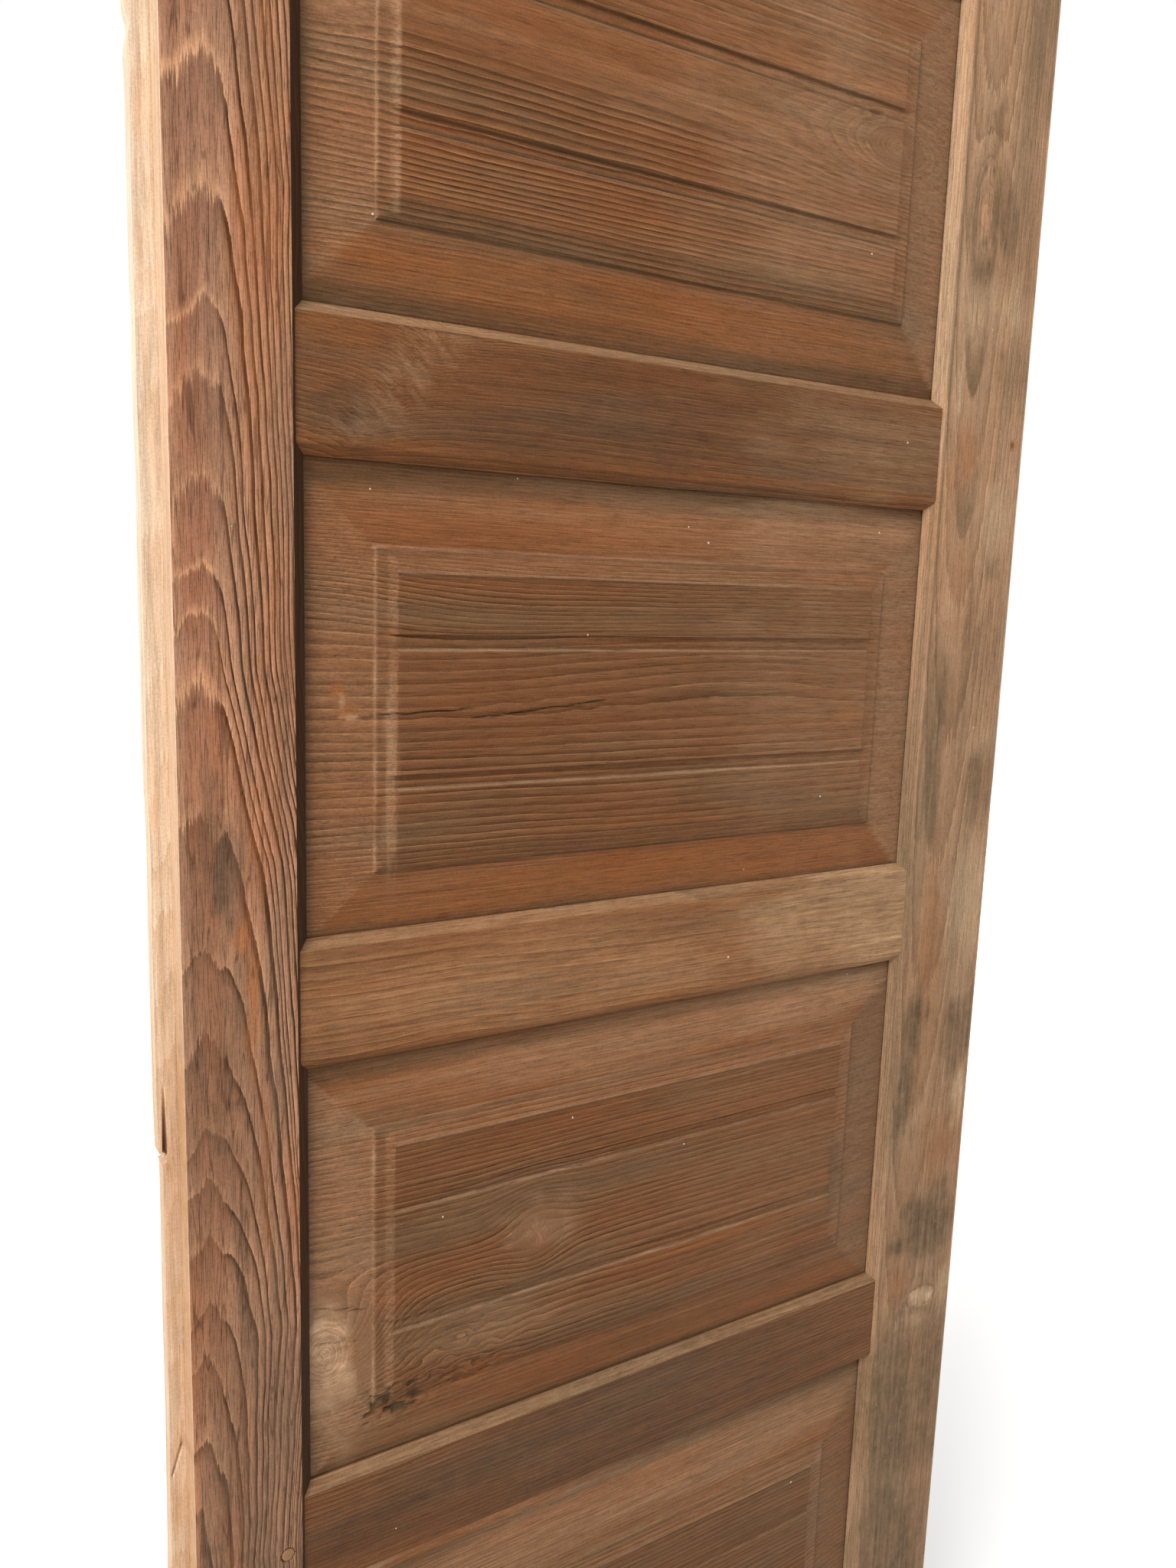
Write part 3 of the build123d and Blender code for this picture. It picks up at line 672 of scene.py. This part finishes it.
# Stained pine, planed: red-brown, its lines in relief on the field and fainter on the margins, no shine.
panel_pine = pine(
    "stained_pine_panels",
    [(0, "#3a200f"), (0.16, "#4c2d18"), (0.34, "#6c462a"), (0.5, "#7b5133"), (0.75, "#84593b"),
     (0.9, "#936743"), (1, "#a4774f")],
    [(0, "#6f492d"), (0.3, "#7a5133"), (0.7, "#83583a"), (1, "#8b6040")],
    ("#834a26", "#74593f", "#4a3b29", "#8f5125", "#c9a582"), 1.0, (0.35, 0.25), 0.9, 0.6)
panel_wood = {
    "panel_1": {
        "margin": 85, "tone": 0.4, "margins": (0.15, 0.3, 0.1), "rim": 0.3, "flutes": (0.2, 0.3),
        "heart": 100, "seed": 201, "wave": 3.0, "pitch": [(180, 5.5), (500, 5), (520, 3.4), (600, 3)],
        "knots": [], "swells": [(-150, 400, 120, 60, 8), (130, 330, 50, 36, -44)], "whorls": [],
        "eyes": [], "curls": [], "cracks": [], "pits": [],
        "spots": [(0, 0, 545, 330, 34, 0.12), (2, 20, 545, 330, 40, 0.3), (0, 0, 380, 330, 110, 0.42),
            (2, 0, 420, 330, 110, 0.05), (0, 0, 200, 330, 40, 0.4), (1, -150, 578, 120, 7, 1.0),
            (2, -262, 578, 26, 6, 0.85), (2, -150, 578, 115, 5, 0.4), (1, 20, 546, 60, 14, 0.3),
            (0, -200, 560, 60, 9, 0.3)]},
    "panel_2": {
        "margin": 65, "tone": 0.16, "margins": (0.26, 0.42, 0.2), "rim": 0.12, "flutes": (0.25, 0.4),
        "heart": 600, "seed": 211, "wave": 2.0,
        "pitch": [(640, 4), (740, 5), (770, 8), (800, 7), (860, 4.7), (965, 4.3), (985, 3), (1060, 2.6)],
        "knots": [(-115, 845, 34, 34, 0.9, 0.0001)],
        "swells": [(-298, 790, 58, 52, -70), (90, 792, 150, 20, -7), (-170, 850, 60, 34, -9)],
        "whorls": [(-298, 788, 42, 50, False), (-112, 847, 22, 24, True)], "eyes": [],
        "curls": [(-180, 762, 60, 26, 9)],
        "cracks": [((-311, 831), (-262, 818), 0.9, 1.8), ((-307, 799), (-268, 793), 0.9, 1.5)],
        "pits": [(-243, 731, 28, 17, 4.0), (-180, 736, 36, 12, 2.0)],
        "spots": [(2, -300, 790, 30, 56, 0.85), (2, -290, 740, 30, 40, 0.4), (2, -106, 850, 36, 24, 0.26),
            (0, -106, 850, 44, 30, 0.14), (2, -304, 796, 14, 30, 1.1), (2, -288, 768, 16, 30, 0.95),
            (1, 0, 1003, 330, 24, 0.2), (1, 115, 787, 120, 5, 0.45), (0, 235, 810, 16, 40, 0.6),
            (2, -150, 768, 70, 16, 0.2), (0, 60, 715, 240, 24, 0.4), (2, 150, 850, 130, 120, 0.08),
            (1, -170, 735, 34, 10, 0.45), (2, 0, 1000, 300, 26, 0.27), (0, -220, 870, 40, 50, 0.25),
            (0, 130, 770, 150, 44, 0.3), (2, 190, 1002, 150, 28, 0.42)]},
    "panel_3": {
        "margin": 65, "tone": 0.18, "margins": (0.12, 0.12, 0.28), "rim": 0.12, "flutes": (0.25, 0.55),
        "heart": 1040, "seed": 221, "wave": 2.0,
        "pitch": [(1090, 3), (1180, 3.2), (1190, 6.5), (1245, 7), (1290, 8), (1340, 9), (1350, 4),
            (1400, 3.6), (1420, 3), (1520, 2.8)],
        "knots": [], "swells": [(70, 1322, 190, 34, 17), (-330, 1385, 110, 40, 16)], "whorls": [],
        "eyes": [], "curls": [(-120, 1295, 90, 10, 2)],
        "cracks": [((-262, 1293), (-178, 1297), 1.0, 2.0), ((-186, 1289), (-58, 1301), 1.0, 2.0)],
        "pits": [],
        # The narrow pale mark at the left band's inner edge is partly wear and partly a painted grey
        # highlight.
        "spots": [(1, 0, 1150, 330, 22, 0.5), (1, 0, 1445, 330, 22, 0.15), (2, -247, 1270, 4.5, 80, 0.42),
            (2, 40, 1445, 280, 26, 0.15), (1, -286, 1311, 6, 6, 0.8), (1, -279, 1295, 8, 6, 0.8),
            (2, -283, 1304, 2.5, 8, 0.5), (2, -277, 1292, 7, 3, 0.6), (0, 190, 1312, 50, 30, 0.3),
            (1, 205, 1276, 28, 20, 0.4), (2, 200, 1295, 110, 130, 0.16), (0, 220, 1295, 110, 130, 0.14),
            (2, 190, 1448, 150, 28, 0.34), (0, -40, 1296, 160, 12, 0.3)]},
    "panel_4": {
        "margin": 65, "tone": 0.02, "margins": (0.18, 0.12, 0.28), "rim": 0.34, "flutes": (0.6, 0.35),
        "heart": 1783, "seed": 231, "wave": 2.0,
        "pitch": [(1530, 2.6), (1632, 3), (1640, 4.2), (1700, 4.6), (1745, 7), (1762, 14), (1775, 40),
            (1800, 40), (1812, 9), (1860, 6), (1880, 4), (1990, 4)],
        "knots": [], "swells": [(190, 1748, 90, 30, -6), (-300, 1776, 22, 20, -26)],
        "whorls": [(222, 1779, 30, 16, False)], "eyes": [(224, 1780, 46, 20, 14)], "curls": [],
        "cracks": [((86, 1791), (180, 1744), 4.5, 0.6), ((0, 1757), (185, 1743), 4, 0.4)],
        "pits": [(195, 1801, 18, 4, 1.8)],
        "spots": [(1, -60, 1605, 300, 26, 0.45), (0, -70, 1606, 34, 12, 0.2), (0, 262, 1650, 22, 50, 0.4),
            (1, 0, 1890, 330, 30, 0.2), (1, -60, 1780, 160, 16, 0.3), (1, 120, 1830, 120, 18, 0.3),
            (0, -150, 1730, 90, 30, 0.25), (2, 120, 1835, 150, 26, 0.14), (2, 170, 1755, 150, 130, 0.26)]}}
for name, wood in panel_wood.items():
    low_corner, high_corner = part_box(name)
    west, low = low_corner[0] * 1000, low_corner[2] * 1000
    east, high = high_corner[0] * 1000, high_corner[2] * 1000
    margin = wood["margin"]
    field_low, field_high = low + margin + band_width, high - margin - band_width
    flutes = [field_low + share * (field_high - field_low) for share in (flute_share, 1 - flute_share)]
    stops = [low, low + margin, field_low]
    for middle in flutes:
        stops += [middle - flute_width / 2, middle + flute_width / 2]
    stops += [field_high, high - margin, high]
    edges = [west + side, west + side + band_width, east - side - band_width, east - side]
    stations = mesh_lines([west] + edges + [east], 6.5, 0.4)
    # Close stations at the torn grain, the edges of the band and the small spots.
    close = [np.arange(at - long, at + long, 2.8) for at, up, long, wide, depth in wood["pits"]]
    close += [np.arange(edge - 3, edge + 3.1, 1.5) for edge in edges]
    close += [np.arange(at - long, at + long, 2.2)
              for channel, at, up, long, wide, strength in wood["spots"] if long < 15]
    stations = np.unique(np.concatenate([stations] + close))
    # The more stations a board has, the wider its rows, so that its mesh keeps its size.
    rows = mesh_lines(stops, max(0.95, (high - low) * len(stations) / mesh_size), 0.35)
    backs = np.linspace(high, low, 24)
    section = np.concatenate([
        np.column_stack([rows, np.zeros(len(rows)), np.full(len(rows), face)]),
        np.column_stack([backs, np.full(24, groove_back - groove_play), np.full(24, back)])])
    panel, column, _, across, deep, zone = lay_sheet(name + "_board", section, stations)
    along = stations[column]
    seed = wood["seed"]
    clear, heart = part_round(along, across, wood["knots"])
    # Round a knot the fibres turn: round about it in the large one, out from the middle in the small one.
    fibre_along, fibre_across = along.copy(), clear.copy()
    calm = np.zeros(len(along))
    for at, up, long, wide, outward in wood["whorls"]:
        reach_out = np.hypot((along - at) / long, (across - up) / wide)
        turned = unit(2.2 - 2 * reach_out)
        calm = np.maximum(calm, np.exp(-reach_out ** 4) * (1 if outward else 0.7))
        bearing = np.arctan2((across - up) / wide, (along - at) / long) * 0.6 * (long + wide) / 2
        radial = reach_out * (long + wide) / 2
        fibre_along += turned * ((radial if outward else bearing) - fibre_along)
        fibre_across += turned * ((bearing if outward else radial) - fibre_across)
    level = clear - lift_lines(along, across, wood["swells"])
    level = level + wood["wave"] * drift(along / 190, across / 60, seed)
    level = level + 0.7 * drift(along / 45, across / 12, seed + 1)
    for at, up, long, wide, size in wood["curls"]:
        stirred = np.exp(-((along - at) / long) ** 2 - ((across - up) / wide) ** 2)
        level = level + size * stirred * drift(along / 13, across / 9, seed + 5)
    heights, pitches = zip(*wood["pitch"])
    scale = np.linspace(low - 80, high + 80, 1200)
    years = np.cumsum((scale[1] - scale[0]) / np.interp(scale, heights, pitches))
    past_heart = np.abs(np.interp(level, scale, years) - np.interp(wood["heart"], scale, years))
    eye = np.zeros(len(along))
    for at, up, long, wide, inner_years in wood["eyes"]:
        nearness = np.exp(-np.hypot((along - at) / long, (across - up) / wide))
        past_heart = past_heart - inner_years * nearness
        eye = np.maximum(eye, unit(3 * nearness - 0.25))
    ring = count_years(past_heart, -20 if wood["eyes"] else 0, 1, seed + 2)
    marks = spread_marks(along, across, wood["spots"], seed + 3)
    hard = (ring % 1) ** 1.5
    # The board is cut from its edges inward: margin, step, band, field.
    ragged = 1.1 * drift(across / 6, along / 60, seed + 4) + 1.4 * hard
    at_rim = np.abs(along - west - side - band_width) < 6
    from_side = np.minimum(along - west + ragged * at_rim, east - along)
    from_end = np.minimum(across - low, high - across)
    sides = np.interp(
        from_side, [0, side - 0.3, side + 0.3, side + band_width - rim_width, side + band_width],
        [margin_depth, step_depth, band_depth, rim_depth, field_depth])
    ends = np.interp(from_end, [0, margin - 0.3, margin + 0.3, margin + band_width],
                     [margin_depth, step_depth, band_depth, field_depth])
    cut = np.maximum(sides, ends)
    # The margins were planed smoother than the field, all but the left one.
    in_side = (from_side < side) & (from_side / side < from_end / margin)
    right_margin = in_side & (along > (west + east) / 2)
    end_margin = (from_end < margin) & ~in_side
    marks[:, crisp] = np.maximum(unit((15 - np.interp(level, heights, pitches)) / 8), 0.8 * eye)
    marks[:, crisp] *= np.where(right_margin, 0.25, np.where(end_margin, 0.4, 1))
    marks[:, crisp] *= (0.92 - 0.5 * unit((along + 120) / 320)) * (1 - calm)
    in_field = (along > west + side + 6) & (along < east - side - 6)
    for middle in flutes:
        flute = unit((flute_width / 2 + 0.35 - np.abs(across - middle)) / 0.7) * in_field
        cut = np.maximum(cut, cut * (1 - flute) + (field_depth + flute_depth) * flute)
    worn = 0.75 * (1 - hard) * (0.25 + 0.75 * marks[:, crisp])
    for (from_x, from_z), (to_x, to_z), wide, depth in wood["cracks"]:
        share = unit((along - from_x) / (to_x - from_x))
        line = from_z + (to_z - from_z) * share + 0.6 * drift(along / 9, 0 * along, seed + 7)
        reachable = unit(np.minimum(along - from_x, to_x - along) / 8)
        gape = reachable * unit(1 - np.abs(across - line) / wide)
        worn = worn + depth * gape
        lay_mark(marks, dirt_and_shade, unit(0.75 * depth * gape))
    for at, up, long, wide, depth in wood["pits"]:
        torn = np.exp(-((along - at) / long) ** 4 - ((across - up) / wide) ** 4)
        torn = torn * unit(1.3 * drift(along / 6, across / 4, seed + 8) + 0.15)
        worn = worn + depth * torn
        lay_mark(marks, dirt_and_shade, min(0.9, 0.22 * depth) * unit(1.6 * torn))
    deep = np.where(zone == face, cut + worn, deep)
    # Painted light and shade on the raised parts: edges and slopes that face up and to the left get painted
    # highlights, and those that face down and to the right get painted shade. The field is darker in tone.
    left_step = ridge(along - west - side, 1.3) * (from_end > margin)
    top_lip = ridge(high - across - margin + 1.3, 1.1) * (from_side > side - 2)
    top_shade = ridge(high - across - margin - 1.4, 1.2) * (from_side > side)
    top_inner = ridge(high - across - margin - band_width + 1.2, 1.0)
    top_inner = top_inner * (from_side > side + band_width)
    right_step = ridge(east - along - side, 1.1) * (from_end > margin)
    low_step = ridge(across - low - margin, 1.2) * (from_side > side)
    field = (from_side > side + band_width) & (from_end > margin + band_width)
    band = (from_side > side) & (from_end > margin) & ~field
    left_band = band & (along - west < side + band_width) & (along - west - side <= from_end - margin)
    top_band = band & (high - across < margin + band_width) & ~left_band
    low_band = band & (across - low < margin + band_width) & ~left_band
    right_band = band & (east - along < side + band_width) & (east - along - side <= from_end - margin)
    patch = 1 + 0.8 * drift(across / 22, along / 30, seed + 9)
    # Per panel: painted light on the left margin, which slopes towards the light, painted shade on the right
    # margin, which slopes away from it, and a paler rub on the right margin.
    left_margin_light, right_margin_shade, right_rub = wood["margins"]
    left_margin = in_side & ~right_margin
    # Painted highlights on the left step, the left and top bands, the lip above the top step and the top
    # band's inner edge; the right band is lightened too.
    rubbed_and_lit = (0.28 * left_step + 0.06 * left_band) * patch + 0.14 * top_band + 0.16 * right_band
    rubbed_and_lit = rubbed_and_lit + 0.4 * top_lip + 0.25 * top_inner
    rubbed_and_lit = rubbed_and_lit + left_margin_light * left_margin + right_rub * right_margin
    # Painted highlight along the rounded inner edge of the left band, where the field begins.
    rim = np.exp(-((along - west - side - band_width + 4) / 3.6) ** 4) * (from_end > margin + 6)
    rim = wood["rim"] * rim * (0.6 + 0.5 * hard)
    rubbed_and_lit = rubbed_and_lit + rim * (1 + 0.5 * drift(across / 9, along / 30, seed + 10))
    # Painted shade on the right and lower steps, just below the top step and on the lower band; the field is
    # darker in tone.
    dirty_and_shaded = 0.85 * right_step + 0.5 * low_step + 0.35 * low_band + 0.5 * top_shade + wood["tone"] * field
    dirty_and_shaded = dirty_and_shaded + right_margin_shade * right_margin
    # A darker strip just right of the left step.
    dirty_and_shaded = dirty_and_shaded + 0.22 * ridge(along - west - side - 5, 3.5) * (from_end > margin)
    # Painted highlight on each flute's lower edge, which faces up, and painted shade along its upper edge and
    # low in its floor.
    flute_shade, flute_highlight = wood["flutes"]
    for middle in flutes:
        flute_low, flute_high = middle - flute_width / 2, middle + flute_width / 2
        rubbed_and_lit = rubbed_and_lit + flute_highlight * ridge(across - flute_low, 1.0) * field
        dirty_and_shaded = dirty_and_shaded + flute_shade * ridge(across - flute_high, 0.9) * field
        dirty_and_shaded = dirty_and_shaded + 1.4 * flute_shade * ridge(across - flute_low - 2.2, 1.0) * field
    # A darker line along the top edge of the field.
    dirty_and_shaded = dirty_and_shaded + 0.4 * ridge(across - field_high + 1, 1.2) * field
    # Painted shade where the panel runs in under the frame, less where the wood glows.
    frame_shade = unit(1 - np.minimum(from_side - 14, from_end - 19) / 8)
    dirty_and_shaded = np.maximum(dirty_and_shaded, 0.6 * frame_shade * (1 - marks[:, glow]))
    lay_mark(marks, rub_and_highlight, np.where(zone == face, rubbed_and_lit, 0))
    lay_mark(marks, dirt_and_shade, np.where(zone == face, dirty_and_shaded, 0))
    marks[:, rub_and_highlight] *= rub_and_highlight_share
    marks[zone == back, :crisp] *= back_share
    panel.data.materials.append(panel_pine)
    close_board(panel, np.column_stack([along, deep + front, across]),
                {"grain": np.column_stack([fibre_along, fibre_across, deep]), "ring": ring, "marks": marks,
                 "knot": heart}, 50)
    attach(panel, "root")
    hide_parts(name)

# Tenon peg: a whittled pine pin driven through the left stile and the second rail's tenon, cut off
# level with the face, and left unstained at its end.
bpy.ops.object.select_all(action="DESELECT")
peg_low, peg_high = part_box("tenon_peg")
peg_length = (peg_high[1] - peg_low[1]) * 1000
bpy.ops.mesh.primitive_cylinder_add(
    vertices=28, radius=0.0049, depth=(peg_length - 0.2) / 1000, rotation=(math.radians(90), 0, 0),
    location=(peg_across / 1000, (peg_low[1] + peg_high[1]) / 2, peg_height / 1000))
peg = bpy.context.object
peg.name = "tenon_peg_pin"
bpy.ops.object.transform_apply(location=True, rotation=True, scale=True)
bpy.ops.object.mode_set(mode="EDIT")
bpy.ops.mesh.select_all(action="SELECT")
bpy.ops.mesh.bevel(offset=0.0005, segments=2, affect="EDGES")
bpy.ops.object.mode_set(mode="OBJECT")
pin = np.empty(len(peg.data.vertices) * 3)
peg.data.vertices.foreach_get("co", pin)
pin = pin.reshape(-1, 3) * 1000
peg.data.materials.append(pale_stile)
write_wood(peg.data, {
    "grain": np.column_stack([pin[:, 1], pin[:, 0], pin[:, 2]]), "ring": (pin[:, 0] + 400) / 2.6,
    "marks": np.tile([0.35, 0.3, 0.0, 0.0], (len(pin), 1)), "knot": np.zeros(len(pin))})
bpy.ops.object.shade_smooth_by_angle(angle=math.radians(35))
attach(peg, "root")
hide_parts("tenon_peg")

# Floor: a plain pale studio floor that takes the leaf's shadow.
bpy.ops.object.select_all(action="DESELECT")
bpy.ops.mesh.primitive_plane_add(size=14, location=(0, 0, 0))
floor = bpy.context.object
floor.name = "studio_floor"
floor_paint = bpy.data.materials.new("matt_white_floor_paint")
floor_paint.use_nodes = True
floor_tree = floor_paint.node_tree
floor_tree.nodes.clear()
sight = add_node(floor_tree, "LightPath", {}, {})
matt = add_node(floor_tree, "BsdfDiffuse", {}, {"Color": linear("#f4f3f1")})
floor_place = add_node(floor_tree, "TexCoord", {}, {}).outputs["Object"]
distance = add_node(floor_tree, "VectorMath", {"operation": "LENGTH"}, {0: floor_place}).outputs["Value"]
fade = add_node(floor_tree, "MapRange", {}, {
    "Value": distance, "From Min": 0.6, "From Max": 3.5, "To Min": 0.25})
direct = add_node(floor_tree, "Math", {"operation": "MAXIMUM"}, {
    0: sight.outputs["Is Camera Ray"], 1: sight.outputs["Is Glossy Ray"]})
direct = add_node(floor_tree, "Math", {"operation": "MAXIMUM"}, {
    0: direct.outputs[0], 1: sight.outputs["Is Transmission Ray"]})
lift = add_node(floor_tree, "Math", {"operation": "MULTIPLY"}, {0: direct.outputs[0], 1: fade.outputs[0]})
lit = add_node(floor_tree, "Emission", {}, {"Strength": lift.outputs[0]})
both = add_node(floor_tree, "AddShader", {}, {0: matt.outputs[0], 1: lit.outputs[0]})
add_node(floor_tree, "OutputMaterial", {}, {"Surface": both.outputs[0]})
floor.data.materials.append(floor_paint)

# Light: soft daylight from the left, above and in front, with an even white room round it.
bpy.ops.object.light_add(type="AREA", location=(-3.6, -1.95, 4.2))
window = bpy.context.object
window.name = "window_light"
window.data.shape = "RECTANGLE"
window.data.size = 1.8
window.data.size_y = 1.8
window.data.energy = 235
window.rotation_euler = (math.radians(52.9), 0, math.radians(-61.6))
room = bpy.data.worlds.new("white_room")
bpy.context.scene.world = room
room.use_nodes = True
room.node_tree.nodes.clear()
path = add_node(room.node_tree, "LightPath", {}, {})
seen = add_node(room.node_tree, "Math", {"operation": "MAXIMUM"}, {
    0: path.outputs["Is Camera Ray"], 1: path.outputs["Is Glossy Ray"]})
seen = add_node(room.node_tree, "Math", {"operation": "MAXIMUM"}, {
    0: seen.outputs[0], 1: path.outputs["Is Transmission Ray"]})
level = add_node(room.node_tree, "MapRange", {}, {"Value": seen.outputs[0], "To Min": 0.6, "To Max": 1.0})
sky = add_node(room.node_tree, "Background", {}, {"Color": (1, 1, 1, 1), "Strength": level.outputs[0]})
add_node(room.node_tree, "OutputWorld", {}, {"Surface": sky.outputs[0]})

# Camera: at the photograph's place, left of the leaf and at chest height, looking down a little.
lens = bpy.data.cameras.new("camera")
lens.lens = 26.96
lens.sensor_width = 36
camera = bpy.data.objects.new("camera", lens)
bpy.context.scene.collection.objects.link(camera)
camera.location = (-0.5744, -0.8250, 1.3869)
camera.rotation_euler = (math.radians(80.75), math.radians(-1.81), math.radians(-31.385))
bpy.context.scene.camera = camera
bpy.context.scene.view_settings.view_transform = "Standard"
